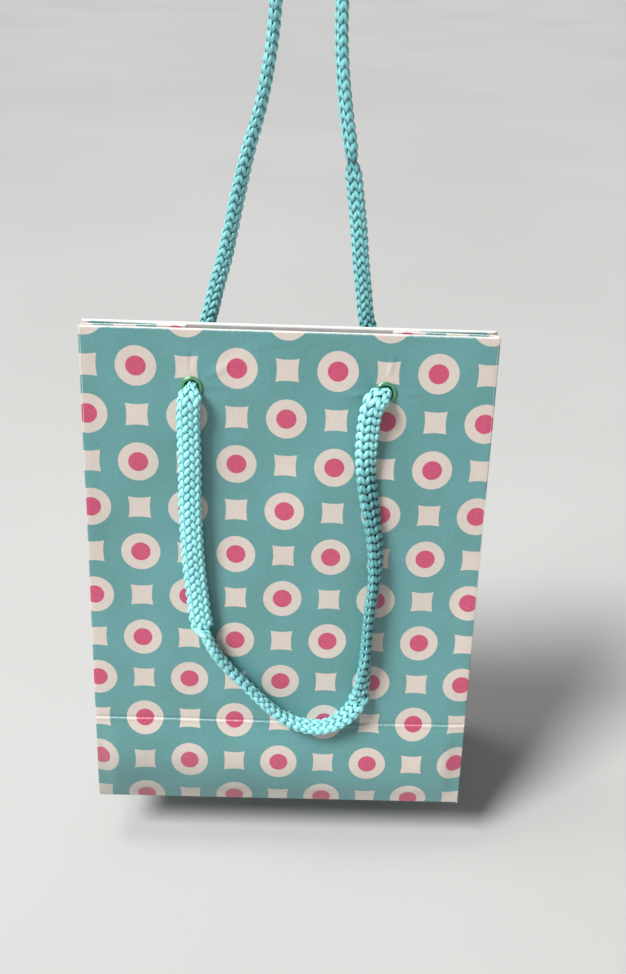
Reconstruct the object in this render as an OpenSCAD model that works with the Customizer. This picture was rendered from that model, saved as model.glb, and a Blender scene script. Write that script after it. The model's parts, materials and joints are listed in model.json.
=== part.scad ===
// Small paper gift bag with eyelets and two braided cord handles.
// It hangs from its rear handle: the origin is the underside of that handle's
// loop, where a hook bears. +Z is up, the front panel faces -Y.
// Millimetres. The bag is drawn standing on z = 0 and placed under the hook
// at the end, by hung().

/* [Bag] */
// Width of the front and back panels
bag_w = 120; // [100:1:160]
// Length of a panel, from the base fold to the mouth fold
panel_l = 158; // [140:1:200]
// Depth of the base, from front fold to back fold
base_d = 60; // [50:1:70]
// Distance between the outer faces of the two panels at the mouth
mouth_gap = 6; // [6:0.5:12]
// Thickness of the printed paper
paper_t = 0.35; // [0.3:0.05:0.5]

/* [Mouth] */
// Height of the paper turned in at the mouth
hem_h = 30; // [26:1:36]
// Thickness of the card strip inside the turned-in hem
strip_t = 0.6; // [0.4:0.1:0.8]
// Height of the card strip
strip_h = 26; // [22:1:30]

/* [Eyelets] */
// Distance between the two eyelets of a panel
eyelet_gap = 56; // [40:1:70]
// Distance from the mouth fold down to the eyelets
eyelet_drop = 17; // [14:1:20]
// Radius of the hole through an eyelet
eyelet_r = 2.1; // [2:0.05:2.3]
// Radius of an eyelet's flange
flange_r = 3.3; // [3:0.1:4]

/* [Handles] */
// Diameter of the braided cord
cord_d = 5.6; // [5:0.1:6]
// Thickness of a knot, pressed flat in the closed bag
knot_t = 3.4; // [2.5:0.1:3.6]

/* [Base] */
// Thickness of the loose card in the base
card_t = 1.2; // [0.8:0.1:1.5]

/* [Hidden] */
$fn = 32;
aqua = [0.45, 0.70, 0.69];
ivory = [0.90, 0.86, 0.80];
card_grey = [0.66, 0.63, 0.58];
eyelet_green = [0.36, 0.58, 0.36];
cord_aqua = [0.40, 0.78, 0.77];

lean = asin((base_d - mouth_gap) / 2 / panel_l);  // each panel leans in by this
mouth_z = panel_l * cos(lean);                    // height of the mouth fold
side_inset = 0.35;    // the hem and the strip stop this short of the side folds
clear = 0.3;          // air between pieces that move apart
strip_drop = 0.5;     // the card strip sits this far under the mouth fold
wall_t = paper_t + strip_t + paper_t;             // paper, strip and hem
flange_t = 0.45;      // an eyelet's flange stands this far out of the paper
barrel_wall = 0.35;   // wall of an eyelet's barrel
knot_w = 10;          // a knot across
knot_h = 9;           // a knot from top to bottom
tail_l = 9;           // cord left over under a knot
stub_out = 0.6;       // the cord's fixed end stops this far out of the panel
pivot_out = 3.8;      // the handle turns about a line this far out of the panel
tab_l = 30;           // how far a side tab of the base reaches in
flap_share = 0.62;    // share of the base's depth that each long flap covers
seam_w = 12;          // width of the glued side seam
base_lift = 3 * paper_t + card_t;     // top of the card in the base
flap_d = base_d / 2 - 1;              // half the depth that the flaps fill
knot_y = wall_t + flange_t + 0.05;    // the knot's face, against the eyelet's rim

// Each gusset folds along a middle crease. Its foot is a flat triangle, from
// the base's side fold up to this point of that crease.
foot_h = 25.4;
foot_in = fold_in(foot_h);            // how far in from the side the point is
leaf_foot = 3 * paper_t + 0.1;        // a gusset starts just over the side tabs
leaf_top = mouth_z - 0.6;
crease_gap = 0.15;                    // half the air between two halves

// The hook holds the rear handle here, in the standing bag's frame.
hook_x = 3;
hook_z = mouth_z + 106 - cord_d / 2;

// The front handle's route on the front panel: across from the middle, down
// from the mouth fold, and out from the panel's face.
front_route = [
    [-28, 17, 3.8], [-28.3, 20, 4.2], [-28.6, 25, 3.8], [-28.5, 32, 3.2],
    [-28.3, 41, 3.1], [-28.4, 51, 3.1], [-28.1, 60, 3.1], [-27.6, 69, 3.1],
    [-26.9, 77, 3.1], [-26.1, 84, 3.1], [-25.4, 89.5, 3.3], [-23.8, 95, 3.6],
    [-20.6, 101.5, 3.6], [-15.5, 108, 3.6], [-10, 113.8, 3.6], [-4.5, 119.5, 3.6],
    [0.5, 123.8, 3.5], [6, 126.5, 3.3], [12, 127.5, 3.2], [17, 126, 3.1],
    [21.5, 122.3, 3.1], [24.4, 117.5, 3.2], [25.5, 111, 3.3], [26, 103, 3.5],
    [26.3, 94, 3.5], [26.7, 85, 3.5], [27.5, 77, 3.4], [27.7, 70, 3.2],
    [27, 62, 3.1], [25.4, 53, 3.1], [23.8, 44, 3.1], [23.1, 36, 3.1],
    [23.2, 29, 3.4], [23.6, 23.5, 4], [24.8, 18.6, 4.5], [28, 17, 3.8]
];

// The rear handle's route: across, out from the back panel's pivot line
// towards +Y, and up from the mouth fold. It is pulled tight to the hook.
rear_route = [
    [-28, 9.6, -16.1], [-27.2, 9.9, -12.5], [-26, 9.4, -7], [-23.7, 8.6, 0],
    [-21.5, 7.9, 9], [-19, 7.2, 18], [-16.8, 6.5, 28], [-14.6, 5.8, 38],
    [-12.2, 5, 48], [-9.3, 4.2, 58], [-7.2, 3.4, 68], [-5.8, 2.6, 78],
    [-5.1, 1.6, 88], [-4.9, 0.8, 97], [-2.8, 0.2, 103.3], [3, 0, 106],
    [8.8, 0.2, 103.3], [10.9, 0.8, 97], [11, 1.6, 88], [11.2, 2.6, 78],
    [12, 3.4, 68], [13.4, 4.2, 58], [15.2, 5, 48], [16.8, 5.8, 38],
    [18.3, 6.5, 28], [19.5, 7.2, 18], [20.8, 7.9, 9], [22.2, 8.6, 0],
    [25, 9.4, -7], [26.9, 9.9, -12.5], [28, 9.6, -16.1]
];

// ---------- placing ----------

// The standing bag, moved so that the hook's point is the origin.
module hung() {
    translate([-hook_x, 0, -hook_z]) children();
}

// The front panel's own frame: x across, y in from its outer face, z up it.
module front_side() {
    translate([0, -base_d / 2, 0]) rotate([-lean, 0, 0]) children();
}

// The back panel's frame is the front one's mirror image.
module back_side() {
    mirror([0, 1, 0]) front_side() children();
}

// An eyelet's place on a panel; side is -1 on the left and 1 on the right.
module at_eyelet(side) {
    translate([side * eyelet_gap / 2, 0, panel_l - eyelet_drop]) children();
}

module eyelet_holes(r) {
    for (side = [-1, 1])
        at_eyelet(side)
            translate([0, -1, 0]) rotate([-90, 0, 0]) cylinder(r = r, h = wall_t + 2);
}

// ---------- paper and card of one panel ----------

module panel() {
    difference() {
        translate([-bag_w / 2, 0, paper_t])
            cube([bag_w, paper_t, panel_l - 2 * paper_t]);
        eyelet_holes(eyelet_r + barrel_wall);
    }
}

// The turned-in paper: a fold over the strip's top, and a leaf inside it.
module hem() {
    w = bag_w - 2 * side_inset;
    difference() {
        union() {
            translate([-w / 2, 0, panel_l - paper_t]) cube([w, wall_t, paper_t]);
            translate([-w / 2, wall_t - paper_t, panel_l - hem_h])
                cube([w, paper_t, hem_h - paper_t / 2]);
        }
        eyelet_holes(eyelet_r + barrel_wall);
    }
}

module strip() {
    w = bag_w - 4 * side_inset;
    difference() {
        translate([-w / 2, paper_t, panel_l - strip_drop - strip_h])
            cube([w, strip_t, strip_h]);
        eyelet_holes(eyelet_r + barrel_wall);
    }
}

// The side seam's glued leaf, inside the back panel's left edge.
module seam() {
    translate([-bag_w / 2 + side_inset, paper_t, base_lift + 1])
        cube([seam_w, paper_t, panel_l - hem_h - base_lift - 2]);
}

// ---------- eyelet, knot and the cord's fixed end ----------

// A turned barrel with a rounded flange outside and a rolled rim inside.
module eyelet(side) {
    rim_r = eyelet_r + barrel_wall + 0.7;
    at_eyelet(side) rotate([-90, 0, 0]) rotate_extrude() {
        translate([eyelet_r, -flange_t]) square([barrel_wall, wall_t + 2 * flange_t]);
        difference() {
            translate([eyelet_r, -flange_t]) square([flange_r - eyelet_r, flange_t]);
            translate([flange_r - flange_t / 2, -flange_t])
                square([flange_t / 2, flange_t / 2]);
        }
        translate([eyelet_r, wall_t]) square([rim_r - eyelet_r, flange_t]);
    }
}

module cord_end(side) {
    stub_r = eyelet_r - 0.1;
    tail_r = 1.5;
    at_eyelet(side) {
        translate([0, -stub_out, 0])
            rotate([-90, 0, 0]) cylinder(r = stub_r, h = stub_out + knot_y);
        translate([0, knot_y + knot_t / 2, -knot_h / 2 - tail_l])
            cylinder(r = tail_r, h = tail_l);
    }
}

// A knot of soft cord, pressed flat: a rounded pad.
module knot(side) {
    at_eyelet(side) translate([0, knot_y, 0]) rotate([-90, 0, 0])
        rotate_extrude() hull() {
            square([knot_w / 2 - knot_t / 2, knot_t]);
            translate([knot_h / 2 - knot_t / 2, knot_t / 2]) circle(d = knot_t);
        }
}

// ---------- base ----------

// A long flap from one panel's fold, glued over the tabs; layer 0 is lowest.
module long_flap(layer) {
    translate([-bag_w / 2 + side_inset, -flap_d, layer * paper_t])
        cube([bag_w - 2 * side_inset, 2 * flap_d * flap_share, paper_t]);
}

// A tab folded in from a gusset, with its corners cut at 45 degrees.
module side_tab(side) {
    w = bag_w / 2 - side_inset;
    translate([0, 0, 2 * paper_t]) linear_extrude(paper_t)
        scale([side, 1]) polygon([
            [w, -flap_d], [w, flap_d],
            [w - tab_l, flap_d - tab_l / 2], [w - tab_l, -flap_d + tab_l / 2]
        ]);
}

module card() {
    w = bag_w - 6;
    translate([-w / 2, -flap_d + 0.5, 3 * paper_t]) cube([w, 2 * flap_d - 1, card_t]);
}

// ---------- gussets ----------

// Half the depth between the panels' outer faces at height z.
function half_depth(z) = base_d / 2 - z * tan(lean);

// How far in from the side the middle crease is at height z: a leaf keeps its
// width, half the base's depth.
function fold_in(z) = sqrt(pow(base_d / 2, 2) - pow(half_depth(z), 2));

// A leaf's side edge stays this far in from the panel's outer face. It clears
// the seam low down, and the turned-in hem near the mouth.
function leaf_gap(z) = min(wall_t, 2 * paper_t + 0.2 + 0.006 * z) + 0.25;

// Half a gusset, cut at height z, on the right and towards the front: its side
// edge, the corner on the foot's crease, and the middle crease, first on the
// inside of the bag and then back along the outside.
function leaf_section(z) =
    let (
        share = min(z / foot_h, 1),
        d = half_depth(z),
        in = z < foot_h ? foot_in * share : fold_in(z),
        edge = [bag_w / 2 - side_inset, -d + leaf_gap(z) / cos(lean)],
        middle = [bag_w / 2 - side_inset - in, -crease_gap],
        foot = [middle[0], edge[1] * (1 - share)],
        corner = z < foot_h ? foot : middle + 0.03 * (edge - middle),
        out = z < foot_h ? 1 : min(base_d / 2 / d, 6),
        thick_edge = paper_t * [-max(d, 10), in] / norm([max(d, 10), in])
    )
    [
        [edge[0] + thick_edge[0], edge[1]], corner - [paper_t, 0], middle - [paper_t, 0],
        middle + [paper_t * (out - 1), 0], corner + [paper_t * (out - 1), 0],
        [edge[0], edge[1] + thick_edge[1]]
    ];

// Half of a gusset. side is -1 on the left; half is -1 towards the front.
module leaf(side, half) {
    low = [for (i = [0 : 3]) leaf_foot + (foot_h - leaf_foot) * i / 4];
    high = [for (i = [0 : 9]) foot_h + (leaf_top - foot_h) * i / 9];
    sections = [for (z = concat(low, high))
        [for (p = leaf_section(z)) [side * p[0], -half * p[1], z]]];
    n = len(sections);
    points = [for (section = sections) each section];
    // Both faces of the sheet are split along the same diagonals.
    walls = [for (i = [0 : n - 2]) for (k = [0 : 5])
        let (a = 6 * i + k, b = 6 * i + (k + 1) % 6)
        each (k < 3 ? [[a, b, b + 6], [a, b + 6, a + 6]] : [[a, b, a + 6], [b, b + 6, a + 6]])];
    foot_end = [[0, 5, 4], [0, 4, 1], [1, 4, 3], [1, 3, 2]];
    top_end = [for (f = foot_end) [for (k = [2 : -1 : 0]) f[k] + 6 * (n - 1)]];
    faces = concat(foot_end, walls, top_end);
    polyhedron(points, side * half < 0 ? faces : [for (f = faces) [f[2], f[1], f[0]]]);
}

// ---------- handles ----------

function unit(v) = v / norm(v);

// A round tube along a route of points, with a ring at each point.
module tube(route, r, sides = 10) {
    n = len(route);
    along = [for (i = [0 : n - 1])
        unit(route[min(i + 1, n - 1)] - route[max(i - 1, 0)])];
    points = [for (i = [0 : n - 1])
        let (u = unit(cross(along[i], [0, 1, 0])), v = cross(along[i], u))
        for (k = [0 : sides - 1])
            route[i] + r * (cos(360 * k / sides) * u + sin(360 * k / sides) * v)];
    walls = [for (i = [0 : n - 2]) for (k = [0 : sides - 1])
        let (a = i * sides + k, b = i * sides + (k + 1) % sides)
        each [[a, b, b + sides], [a, b + sides, a + sides]]];
    faces = concat([[for (k = [sides - 1 : -1 : 0]) k]], walls,
                   [[for (k = [0 : sides - 1]) (n - 1) * sides + k]]);
    polyhedron(points, [for (f = faces) [for (k = [len(f) - 1 : -1 : 0]) f[k]]]);
}

module front_cord() {
    front_side() tube([for (p = front_route) [p[0], -p[2], panel_l - p[1]]], cord_d / 2);
}

module rear_cord() {
    tube([for (p = rear_route) [p[0], p[1], mouth_z + p[2]]], cord_d / 2);
}

// ---------- the nodes ----------

module base_front_flap() { color(aqua) hung() long_flap(0); }
module base_back_flap() { color(aqua) hung() mirror([0, 1, 0]) long_flap(1); }
module base_left_tab() { color(aqua) hung() side_tab(-1); }
module base_right_tab() { color(aqua) hung() side_tab(1); }
module base_card() { color(card_grey) hung() card(); }
module left_gusset_front() { color(aqua) hung() leaf(-1, -1); }
module left_gusset_back() { color(aqua) hung() leaf(-1, 1); }
module right_gusset_front() { color(aqua) hung() leaf(1, -1); }
module right_gusset_back() { color(aqua) hung() leaf(1, 1); }
module front_panel() { color(aqua) hung() front_side() panel(); }
module front_hem() { color(ivory) hung() front_side() hem(); }
module front_strip() { color(card_grey) hung() front_side() strip(); }
module front_eyelet_left() { color(eyelet_green) hung() front_side() eyelet(-1); }
module front_eyelet_right() { color(eyelet_green) hung() front_side() eyelet(1); }
module front_cord_end_left() { color(cord_aqua) hung() front_side() cord_end(-1); }
module front_cord_end_right() { color(cord_aqua) hung() front_side() cord_end(1); }
module front_knot_left() { color(cord_aqua) hung() front_side() knot(-1); }
module front_knot_right() { color(cord_aqua) hung() front_side() knot(1); }
module back_panel() { color(aqua) hung() back_side() panel(); }
module back_hem() { color(ivory) hung() back_side() hem(); }
module back_strip() { color(card_grey) hung() back_side() strip(); }
module side_seam() { color(aqua) hung() back_side() seam(); }
module back_eyelet_left() { color(eyelet_green) hung() back_side() eyelet(-1); }
module back_eyelet_right() { color(eyelet_green) hung() back_side() eyelet(1); }
module back_cord_end_left() { color(cord_aqua) hung() back_side() cord_end(-1); }
module back_cord_end_right() { color(cord_aqua) hung() back_side() cord_end(1); }
module back_knot_left() { color(cord_aqua) hung() back_side() knot(-1); }
module back_knot_right() { color(cord_aqua) hung() back_side() knot(1); }
module front_handle() { color(cord_aqua) hung() front_cord(); }
module rear_handle() { color(cord_aqua) hung() rear_cord(); }

base_front_flap();
base_back_flap();
base_left_tab();
base_right_tab();
base_card();
left_gusset_front();
left_gusset_back();
right_gusset_front();
right_gusset_back();
front_panel();
front_hem();
front_strip();
front_eyelet_left();
front_eyelet_right();
front_cord_end_left();
front_cord_end_right();
front_knot_left();
front_knot_right();
back_panel();
back_hem();
back_strip();
side_seam();
back_eyelet_left();
back_eyelet_right();
back_cord_end_left();
back_cord_end_right();
back_knot_left();
back_knot_right();
front_handle();
rear_handle();
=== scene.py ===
"""A small printed paper gift bag that hangs by its rear handle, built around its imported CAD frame.

The bag is worked out in millimetres in its standing frame: x across, y from front to back and z up
from the middle of the base. row() turns such points into the row frame, in metres.
"""

import json
import math

import bmesh
import bpy
import numpy as np
from mathutils import Matrix, Vector, noise


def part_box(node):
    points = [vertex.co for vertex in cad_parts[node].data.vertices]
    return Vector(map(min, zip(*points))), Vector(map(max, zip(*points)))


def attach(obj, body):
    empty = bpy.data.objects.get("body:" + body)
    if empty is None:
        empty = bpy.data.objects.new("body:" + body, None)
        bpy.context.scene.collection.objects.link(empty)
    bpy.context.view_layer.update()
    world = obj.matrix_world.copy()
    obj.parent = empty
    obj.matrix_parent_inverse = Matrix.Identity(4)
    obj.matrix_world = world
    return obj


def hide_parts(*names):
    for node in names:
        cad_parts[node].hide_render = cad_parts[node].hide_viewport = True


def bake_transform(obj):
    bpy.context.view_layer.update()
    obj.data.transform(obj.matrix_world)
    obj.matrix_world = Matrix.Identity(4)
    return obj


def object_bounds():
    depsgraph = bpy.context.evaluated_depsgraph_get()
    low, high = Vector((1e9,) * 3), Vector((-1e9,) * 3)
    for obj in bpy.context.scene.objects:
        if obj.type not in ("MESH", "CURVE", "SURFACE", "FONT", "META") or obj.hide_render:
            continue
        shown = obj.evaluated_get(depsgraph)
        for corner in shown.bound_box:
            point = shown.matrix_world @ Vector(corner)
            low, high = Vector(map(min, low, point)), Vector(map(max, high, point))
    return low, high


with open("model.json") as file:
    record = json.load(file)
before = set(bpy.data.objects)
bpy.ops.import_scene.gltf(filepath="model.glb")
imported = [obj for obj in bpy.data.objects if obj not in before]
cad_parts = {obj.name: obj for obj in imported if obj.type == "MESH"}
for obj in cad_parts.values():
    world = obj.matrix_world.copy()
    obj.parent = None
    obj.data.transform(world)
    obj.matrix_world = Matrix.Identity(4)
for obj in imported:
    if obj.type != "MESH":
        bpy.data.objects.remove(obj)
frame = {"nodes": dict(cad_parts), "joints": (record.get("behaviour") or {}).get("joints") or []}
cad_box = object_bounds()

MM = 0.001

# ---------------------------------------------------------------- the bag's sizes, in mm

joints = {j["name"]: j for j in frame["joints"]}
front_fold = [c / MM for c in joints["front_side_open"]["pos_m"]]  # middle of the front base fold
BASE_X, HALF_DEPTH, BASE_Z = front_fold[0], -front_fold[1], front_fold[2]

PANEL_W = 120.0
PANEL_L = 158.0
MOUTH_HALF = 3.0
PAPER_T = 0.35
WALL_T = 1.3  # paper, card strip and turned-in paper
HEM_L = 30.0
EYELET_X = 28.0
EYELET_H = 17.0
HOLE_R = 2.1
CREASE_H = 127.4  # the storage fold across each panel, below the mouth fold
LEAN = math.asin((HALF_DEPTH - MOUTH_HALF) / PANEL_L)
SIN, COS = math.sin(LEAN), math.cos(LEAN)
MOUTH_Z = PANEL_L * COS
HALF_W = PANEL_W / 2

FRONT, BACK = -1, 1
LEFT, RIGHT = -1, 1


def row(points):
    """Standing-bag points in mm, as row-frame points in metres."""
    return (np.asarray(points, float) + (BASE_X, 0, BASE_Z)) * MM


def on_panel(x, h, d, face=FRONT):
    """A point x across, h down from the mouth fold and d out from a panel's outer face."""
    up = PANEL_L - np.asarray(h, float)
    y = -HALF_DEPTH + up * SIN - np.asarray(d, float) * COS
    z = up * COS + np.asarray(d, float) * SIN
    x, y, z = np.broadcast_arrays(np.asarray(x, float), y, z)
    return np.stack([x, -face * y, z], -1)


def smoothstep(low, high, value):
    t = np.clip((np.asarray(value, float) - low) / (high - low), 0, 1)
    return t * t * (3 - 2 * t)


# ---------------------------------------------------------------- camera

CAMERA_PLACE = (0.0001, -0.2763, 0.0014)
CAMERA_PAN = 1.05  # degrees to the right of +Y
CAMERA_TILT = -29.55
CAMERA_ROLL = 2.09
LENS = 37.8


def make_camera():
    data = bpy.data.cameras.new("camera")
    data.lens = LENS
    data.sensor_width = 36
    data.clip_start = 0.01
    camera = bpy.data.objects.new("camera", data)
    bpy.context.collection.objects.link(camera)
    pan, tilt = math.radians(CAMERA_PAN), math.radians(CAMERA_TILT)
    look = Vector((math.sin(pan) * math.cos(tilt), math.cos(pan) * math.cos(tilt), math.sin(tilt)))
    turn = look.to_track_quat("-Z", "Y").to_matrix().to_4x4()
    roll = Matrix.Rotation(math.radians(CAMERA_ROLL), 4, "Z")
    camera.matrix_world = Matrix.Translation(CAMERA_PLACE) @ turn @ roll
    bpy.context.scene.camera = camera


# ---------------------------------------------------------------- node helpers


class Nodes:
    """A material's node tree, with short calls for the nodes that the materials here use."""

    def __init__(self, name):
        self.material = bpy.data.materials.new(name)
        self.material.use_nodes = True
        self.tree = self.material.node_tree
        self.shader = self.tree.nodes["Principled BSDF"]

    def set(self, socket, value):
        """A number or colour, or another node's output, into an input socket."""
        if isinstance(value, bpy.types.NodeSocket):
            self.tree.links.new(value, socket)
        elif isinstance(value, (tuple, list)) and len(value) == 3 and len(socket.default_value) == 4:
            socket.default_value = (*value, 1)
        else:
            socket.default_value = value

    def math(self, kind, a, b=0.0, c=None):
        node = self.tree.nodes.new("ShaderNodeMath")
        node.operation = kind
        self.set(node.inputs[0], a)
        self.set(node.inputs[1], b)
        if c is not None:
            self.set(node.inputs[2], c)
        return node.outputs[0]

    def ramp(self, value, low, high, to_low=0.0, to_high=1.0):
        node = self.tree.nodes.new("ShaderNodeMapRange")
        node.interpolation_type = "SMOOTHSTEP"
        self.set(node.inputs["Value"], value)
        self.set(node.inputs["From Min"], low)
        self.set(node.inputs["From Max"], high)
        self.set(node.inputs["To Min"], to_low)
        self.set(node.inputs["To Max"], to_high)
        return node.outputs["Result"]

    def mix(self, share, a, b):
        node = self.tree.nodes.new("ShaderNodeMix")
        node.data_type = "RGBA"
        self.set(node.inputs["Factor"], share)
        self.set(node.inputs[6], a)
        self.set(node.inputs[7], b)
        return node.outputs[2]

    def uv(self, name):
        node = self.tree.nodes.new("ShaderNodeUVMap")
        node.uv_map = name
        split = self.tree.nodes.new("ShaderNodeSeparateXYZ")
        self.tree.links.new(node.outputs["UV"], split.inputs[0])
        return node.outputs["UV"], split.outputs[0], split.outputs[1]

    def place(self):
        """The point on the piece, in metres, at rest."""
        return self.tree.nodes.new("ShaderNodeTexCoord").outputs["Object"]

    def scaled(self, vector, scale):
        node = self.tree.nodes.new("ShaderNodeVectorMath")
        node.operation = "MULTIPLY"
        self.set(node.inputs[0], vector)
        node.inputs[1].default_value = scale
        return node.outputs[0]

    def attribute(self, name):
        node = self.tree.nodes.new("ShaderNodeAttribute")
        node.attribute_name = name
        return node.outputs["Fac"]

    def noise(self, vector, scale, detail=2.0, roughness=0.5):
        node = self.tree.nodes.new("ShaderNodeTexNoise")
        self.set(node.inputs["Vector"], vector)
        node.inputs["Scale"].default_value = scale
        node.inputs["Detail"].default_value = detail
        node.inputs["Roughness"].default_value = roughness
        return node.outputs["Fac"]

    def bump(self, height, distance, strength=1.0, below=None):
        node = self.tree.nodes.new("ShaderNodeBump")
        node.inputs["Strength"].default_value = strength
        node.inputs["Distance"].default_value = distance
        self.set(node.inputs["Height"], height)
        if below is not None:
            self.set(node.inputs["Normal"], below)
        return node.outputs["Normal"]

    def finish(self, **inputs):
        for name, value in inputs.items():
            self.set(self.shader.inputs[name.replace("_", " ")], value)
        return self.material


# ---------------------------------------------------------------- materials

AQUA = (0.110, 0.318, 0.325)
AQUA_DEEP = (0.094, 0.280, 0.276)
IVORY = (0.65, 0.56, 0.495)
PINK = (0.54, 0.064, 0.148)
PAPER_WHITE = (0.84, 0.83, 0.80)

PITCH = 14.5  # between neighbouring columns or rows of the print, in mm
COLUMN_SHIFT = 4.03  # columns between the panel's middle and column 0
ROW_SHIFT = 0.23  # rows between row 0 and the mouth fold
RING_R = 0.41  # these are shares of the pitch
DOT_R = 0.204
SQUARE_SIDE = 0.211
SQUARE_FLARE = 0.44
INK_EDGE = 0.006


def printed_paper():
    """Coated paper printed with ringed dots and hollow-sided squares on aqua. UVs are in mm."""
    n = Nodes("printed_paper")
    uv, across, down = n.uv("print")
    fine = n.noise(uv, 2.6, 3)
    jitter = n.math("MULTIPLY", n.math("SUBTRACT", fine, 0.5), 0.012)
    px = n.math("ADD", n.math("MULTIPLY_ADD", across, 1 / PITCH, COLUMN_SHIFT), jitter)
    py = n.math("ADD", n.math("MULTIPLY_ADD", down, 1 / PITCH, ROW_SHIFT), jitter)
    column, line = n.math("ROUND", px), n.math("ROUND", py)
    lx, ly = n.math("SUBTRACT", px, column), n.math("SUBTRACT", py, line)
    odd = n.math("PINGPONG", n.math("ADD", column, line), 1.0)
    even = n.math("SUBTRACT", 1.0, odd)
    sx, sy = n.math("MULTIPLY", lx, lx), n.math("MULTIPLY", ly, ly)
    radius = n.math("SQRT", n.math("ADD", sx, sy))
    ring = n.ramp(radius, RING_R + INK_EDGE, RING_R - INK_EDGE)
    dot = n.ramp(radius, DOT_R + INK_EDGE, DOT_R - INK_EDGE)
    reach_x = n.math("MULTIPLY_ADD", sy, SQUARE_FLARE, SQUARE_SIDE)
    inside_x = n.math("SUBTRACT", reach_x, n.math("ABSOLUTE", lx))
    reach_y = n.math("MULTIPLY_ADD", sx, SQUARE_FLARE, SQUARE_SIDE)
    inside_y = n.math("SUBTRACT", reach_y, n.math("ABSOLUTE", ly))
    square = n.ramp(n.math("MINIMUM", inside_x, inside_y), -INK_EDGE, INK_EDGE)
    light = n.math("ADD", n.math("MULTIPLY", even, ring), n.math("MULTIPLY", odd, square))
    pink = n.math("MULTIPLY", even, dot)

    broad = n.noise(uv, 0.035, 3)
    mottle = n.noise(uv, 0.9, 4, 0.65)
    ground = n.mix(n.ramp(broad, 0.3, 0.7), AQUA_DEEP, AQUA)
    ground = n.mix(n.ramp(mottle, 0.25, 0.8, 0.0, 0.05), ground, PAPER_WHITE)
    ivory = n.mix(n.ramp(mottle, 0.3, 0.8), IVORY, (0.685, 0.605, 0.54))
    dots = n.mix(n.ramp(mottle, 0.3, 0.75), PINK, (0.595, 0.090, 0.178))
    colour = n.mix(light, ground, ivory)
    colour = n.mix(pink, colour, dots)
    # painted-in shade over the panel's foot, deeper to the left
    foot = n.math("SUBTRACT", down, n.math("MULTIPLY", across, 0.18))
    colour = n.mix(n.ramp(foot, 136.0, 160.0, 0.0, 0.38), colour, (0.050, 0.110, 0.105))
    # rubbed ink, and painted highlight on the mouth fold and the crease, turn the print towards bare paper
    # white
    scuffs_and_highlight = n.math("ADD", n.attribute("wear_and_highlight"), n.math("MULTIPLY", n.noise(uv, 1.7, 4, 0.7), 0.9))
    worn_and_highlight = n.ramp(scuffs_and_highlight, 0.85, 1.35, 0.0, 0.92)
    colour = n.mix(worn_and_highlight, colour, PAPER_WHITE)

    fibre = n.noise(uv, 5.5, 3, 0.6)
    waves = n.noise(uv, 0.11, 2)
    relief = n.bump(waves, 0.6 * MM, 0.35)
    relief = n.bump(fibre, 0.012 * MM, 0.3, relief)
    rough = n.math("ADD", n.ramp(mottle, 0.2, 0.8, 0.30, 0.42), n.math("MULTIPLY", worn_and_highlight, 0.25))
    return n.finish(Base_Color=colour, Roughness=rough, Normal=relief, Coat_Weight=0.35, Coat_Roughness=0.22)


def white_paper():
    """The bare back of the paper: white, matt and slightly fibrous."""
    n = Nodes("white_paper")
    place = n.place()
    fibre = n.noise(n.scaled(place, (1600, 1600, 900)), 1.0, 4, 0.7)
    cloud = n.noise(place, 60.0, 3)
    colour = n.mix(n.ramp(cloud, 0.3, 0.7), (0.77, 0.76, 0.73), PAPER_WHITE)
    colour = n.mix(n.ramp(fibre, 0.55, 0.8, 0.0, 0.25), colour, (0.66, 0.64, 0.60))
    relief = n.bump(fibre, 0.03 * MM, 0.5)
    return n.finish(Base_Color=colour, Roughness=n.ramp(fibre, 0.2, 0.8, 0.72, 0.88), Normal=relief)


def grey_card():
    """Uncoated recycled card with darker flecks."""
    n = Nodes("grey_card")
    place = n.place()
    fleck = n.noise(place, 900.0, 5, 0.75)
    cloud = n.noise(place, 90.0, 3)
    colour = n.mix(n.ramp(cloud, 0.3, 0.7), (0.33, 0.30, 0.26), (0.40, 0.37, 0.32))
    colour = n.mix(n.ramp(fleck, 0.60, 0.72, 0.0, 0.6), colour, (0.16, 0.14, 0.12))
    relief = n.bump(fleck, 0.05 * MM, 0.6)
    return n.finish(Base_Color=colour, Roughness=n.ramp(fleck, 0.3, 0.7, 0.78, 0.92), Normal=relief)


def green_enamel():
    """Glossy green lacquer over stamped metal, rubbed along its rim."""
    n = Nodes("green_enamel")
    place = n.place()
    cloud = n.noise(place, 420.0, 3)
    rub = n.ramp(n.noise(place, 1500.0, 4, 0.7), 0.62, 0.74, 0.0, 0.5)
    colour = n.mix(n.ramp(cloud, 0.3, 0.7), (0.115, 0.330, 0.150), (0.165, 0.430, 0.205))
    colour = n.mix(rub, colour, (0.42, 0.55, 0.40))
    relief = n.bump(cloud, 0.03 * MM, 0.3)
    rough = n.ramp(cloud, 0.3, 0.7, 0.20, 0.34)
    return n.finish(
        Base_Color=colour,
        Roughness=rough,
        Metallic=0.35,
        Normal=relief,
        Coat_Weight=0.6,
        Coat_Roughness=0.12,
    )


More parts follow.
